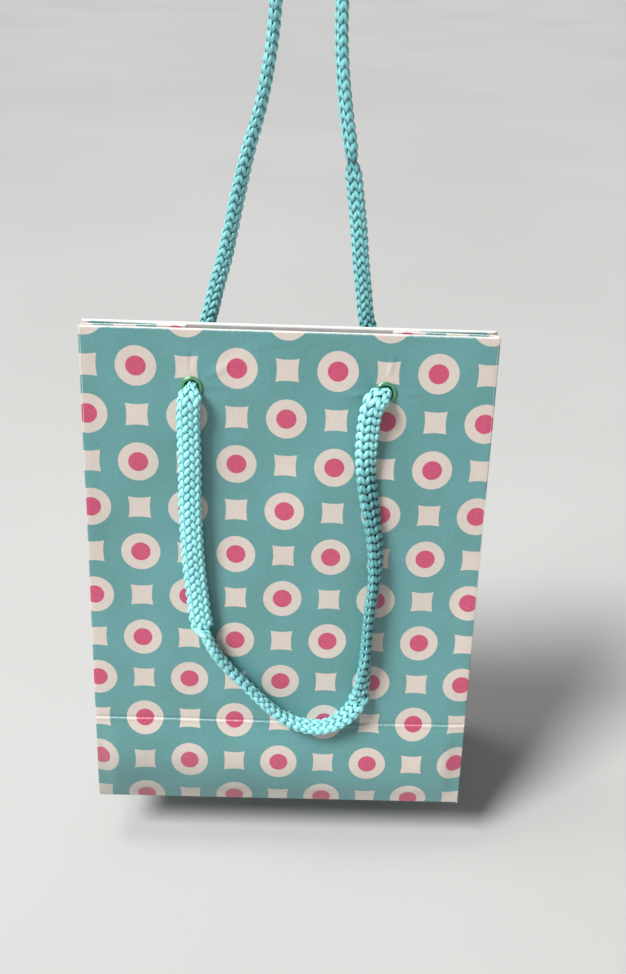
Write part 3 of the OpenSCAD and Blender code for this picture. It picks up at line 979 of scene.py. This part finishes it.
# The front handle's route: across from the middle, down from the mouth fold, out from the face.
FRONT_ROUTE = [
    (-28, 17, 3.8), (-28.3, 20, 4.2), (-28.6, 25, 3.8), (-28.5, 32, 3.2), (-28.3, 41, 3.1), (-28.4, 51, 3.1),
    (-28.1, 60, 3.1), (-27.6, 69, 3.1), (-26.9, 77, 3.1), (-26.1, 84, 3.1), (-25.4, 89.5, 3.3),
    (-23.8, 95, 3.6), (-20.6, 101.5, 3.6), (-15.5, 108, 3.6), (-10, 113.8, 3.6), (-4.5, 119.5, 3.6),
    (0.5, 123.8, 3.5), (6, 126.5, 3.3), (12, 127.5, 3.2), (17, 126, 3.1), (21.5, 122.3, 3.1),
    (24.4, 117.5, 3.2), (25.5, 111, 3.3), (26, 103, 3.5), (26.3, 94, 3.5), (26.7, 85, 3.5),
    (27.5, 77, 3.4), (27.7, 70, 3.2),
    (27, 62, 3.1), (25.4, 53, 3.1), (23.8, 44, 3.1), (23.1, 36, 3.1), (23.2, 29, 3.4), (23.6, 23.5, 4),
    (24.8, 18.6, 4.5), (28, 17, 3.8),
]

# The rear handle's: across, out from the middle plane towards the back, up from the mouth fold.
REAR_ROUTE = [
    (-28, 9.6, -16.1), (-27.2, 9.9, -12.5), (-26, 9.4, -7), (-23.7, 8.6, 0), (-21.5, 7.9, 9), (-19, 7.2, 18),
    (-16.8, 6.5, 28), (-14.6, 5.8, 38), (-12.2, 5, 48), (-9.3, 4.2, 58), (-7.2, 3.4, 68), (-5.8, 2.6, 78),
    (-5.1, 1.6, 88), (-4.9, 0.8, 97), (-2.8, 0.2, 103.3), (3, 0, 106), (8.8, 0.2, 103.3), (10.9, 0.8, 97),
    (11, 1.6, 88), (11.2, 2.6, 78), (12, 3.4, 68), (13.4, 4.2, 58), (15.2, 5, 48), (16.8, 5.8, 38),
    (18.3, 6.5, 28), (19.5, 7.2, 18), (20.8, 7.9, 9), (22.2, 8.6, 0), (25, 9.4, -7), (26.9, 9.9, -12.5),
    (28, 9.6, -16.1),
]


def through_eyelet(face, side):
    """Where the cord comes from its knot through an eyelet, up to its first free point."""
    return [on_panel(side * EYELET_X, EYELET_H, d, face) for d in (-2.2, -0.6, 0.9)]


def keyed(share, keys):
    """A value along a cord, eased between listed keys of (share of the length, value)."""
    value = np.full_like(share, keys[0][1])
    for (start, low), (end, high) in zip(keys, keys[1:]):
        value = value + (high - low) * smoothstep(start, end, share)
    return value


def taper(s, width, tight):
    """A cord's half width along it: tight in the eyelets at both ends, and wide between."""
    near = np.minimum(s, s[-1] - s)
    return tight + (width - tight) * smoothstep(2.8, 6.2, near)


def handle(name, route, face, node, look, material, seed):
    """A handle: its braid, from inside one eyelet to inside the other."""
    ends = through_eyelet(face, LEFT), through_eyelet(face, RIGHT)[::-1]
    line, s = smooth_route(np.concatenate([ends[0], route[1:-1], ends[1]]), RING_STEP)
    outward = on_panel(0, 0, 1, face) - on_panel(0, 0, 0, face)
    along, side, flat = flat_frames(line, outward, (0, 0, 1 if face == FRONT else -1))
    width, thick, twist, drift, painted_shade = look(s, s[-1])
    piece = braid(name, line, s, side, flat, width, thick, twist, drift, painted_shade, material, seed)
    eye = on_panel(0, EYELET_H, 0.4, face)
    free = route[4] - on_panel(0, EYELET_H, 3.8, face)
    free[0] = 0
    free /= np.linalg.norm(free)
    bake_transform(piece)
    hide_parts(node)
    return piece


def front_look(s, total):
    """Half width, half thickness, twist, drift and painted shade of the front handle along it."""
    share = s / total
    width = taper(s, 3.6, 1.8)
    thick = taper(s, 1.95, 1.7)
    twist = keyed(share, [(0, 0), (0.10, -8), (0.307, -8), (0.321, -104), (0.45, -106), (0.52, -88),
                          (0.578, -58), (0.592, 42), (0.655, 82), (0.70, 76), (0.80, 54), (0.87, 34),
                          (0.925, 8), (1, 0)])
    drift = keyed(share, [(0.30, 0), (0.60, 45)])
    # painted shade along the front cord, deepest down its right strand
    painted_shade = keyed(share, [(0.32, 0.0), (0.36, 0.45), (0.50, 0.1), (0.60, 0.45), (0.66, 0.90), (0.86, 0.80),
                         (0.93, 0.0)])
    return width, thick, np.radians(twist), np.radians(drift), painted_shade


def rear_look(s, total):
    share = s / total
    kink = np.exp(-(((share - 0.745) / 0.007) ** 2))
    width = taper(s, 2.55, 1.8) - 0.95 * kink
    thick = taper(s, 1.75, 1.7) - 0.35 * kink
    twist = keyed(share, [(0, 0), (0.06, -8), (0.2, 34), (0.36, 74), (0.5, 84), (0.62, 70), (0.735, 52),
                          (0.755, 18), (0.9, -8), (1, 0)])
    drift = keyed(share, [(0, 22), (0.74, 30), (1, 36)])
    # painted shade: the rear cord darker all along, and darker still at its kink
    return width, thick, np.radians(twist), np.radians(drift), 0.36 + 0.5 * kink


def handles(yarn):
    front = on_panel(*np.array(FRONT_ROUTE, float).T)
    rear = np.array([(x, y, MOUTH_Z + z) for x, y, z in REAR_ROUTE])
    handle("front_handle_cord", front, FRONT, "front_handle", front_look,
           yarn, 5)
    handle("rear_handle_cord", rear, BACK, "rear_handle", rear_look,
           yarn, 8)


KNOT_REACH = 1.12  # scale of the knot's three loops


def knot(name, side, face, material, seed):
    """An overhand knot behind an eyelet, pressed flat, with the cord's cut end hanging below it."""
    turns = np.linspace(-0.15, 2 * math.pi * 0.93, 34)
    middle = WALL_T + 0.5 + 1.7
    route = []
    for t in turns:
        x = side * (math.sin(t) + 2 * math.sin(2 * t)) * KNOT_REACH
        h = (math.cos(t) - 2 * math.cos(2 * t)) * KNOT_REACH
        route.append((side * EYELET_X + x, EYELET_H + h, -middle - 0.5 * math.sin(3 * t)))
    x0 = side * EYELET_X
    route += [(x0 + side * 0.6, EYELET_H + 5.0, -middle + 0.3), (x0 + side * 0.3, EYELET_H + 9, -middle),
              (x0 + side * 0.8, EYELET_H + 13.4, -middle)]
    line, s = smooth_route(on_panel(*np.array(route, float).T, face), 0.75)
    along, sides, flat = flat_frames(line, (0, face, 0.3), (0, 0, 0))
    wide = np.full(len(s), 1.62) + 0.25 * smoothstep(s[-1] - 2.5, s[-1], s)
    none = 0 * s  # no twist, drift or painted shade
    piece = braid(name + "_tied", line, s, sides, flat, wide, wide * 0.86, none, none, none, material,
                  seed, strands=4, stitch=2.2)
    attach(piece, "front_side" if face == FRONT else "back_side")
    return piece


# ---------------------------------------------------------------- stage and light

FLOOR_DROP = 0.02


def stage_and_light():
    low = cad_box[0][2] - FLOOR_DROP
    mesh = bpy.data.meshes.new("floor")
    mesh.from_pydata([(-20, -20, low), (20, -20, low), (20, 20, low), (-20, 20, low)], [], [(0, 1, 2, 3)])
    mesh.materials.append(floor_paint())
    floor = bpy.data.objects.new("floor", mesh)
    bpy.context.collection.objects.link(floor)
    target = Vector((0, 0, -0.18))
    for name, kind, place, size, power in (
        ("key", "SUN", (-0.50, -0.37, 0.54), math.radians(20), 3.85),
        ("top", "AREA", (-0.32, 0.02, 0.60), 0.30, 1.8),
        ("fill", "AREA", (0.75, -0.70, 0.10), 0.90, 0.15),
    ):
        data = bpy.data.lights.new(name, kind)
        data.energy = power
        if kind == "SUN":
            data.angle = size
        else:
            data.shape = "DISK"
            data.size = size
        light = bpy.data.objects.new(name, data)
        bpy.context.collection.objects.link(light)
        light.location = place
        light.rotation_euler = (target - Vector(place)).to_track_quat("-Z", "Y").to_euler()
    world = bpy.data.worlds.new("studio")
    world.use_nodes = True
    world.node_tree.nodes["Background"].inputs["Color"].default_value = (0.90, 0.93, 0.96, 1)
    world.node_tree.nodes["Background"].inputs["Strength"].default_value = 0.22
    bpy.context.scene.world = world
    bpy.context.scene.view_settings.view_transform = "Standard"


# ---------------------------------------------------------------- the whole


def main():
    make_camera()
    printed, bare, card = printed_paper(), white_paper(), grey_card()
    enamel, yarn = green_enamel(), cord_yarn()
    handles(yarn)
    panel_sheet("front_paper", FRONT, "front_side", [printed, bare], ["front_panel", "front_hem"])
    panel_sheet("back_paper", BACK, "back_side", [printed, bare], ["back_panel", "back_hem"])
    for face, end in ((FRONT, "front"), (BACK, "back")):
        for side, hand in ((LEFT, "left"), (RIGHT, "right")):
            leaf = f"{hand}_gusset_{end}"
            gusset_leaf(leaf, side, face, [printed, bare])
            eyelet(f"{end}_eyelet_{hand}", side, face, enamel)
            tied = knot(f"{end}_knot_{hand}", side, face, yarn, 20 + 2 * face + side)
            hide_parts(f"{end}_knot_{hand}", f"{end}_cord_end_{hand}")
    base_flaps(printed, bare)
    base_card(card)
    seam_strip(printed, bare)
    for name, node in frame["nodes"].items():
        if node.hide_render:
            continue
        for slot in node.material_slots:
            slot.material = card if "strip" in name else bare
    stage_and_light()


main()
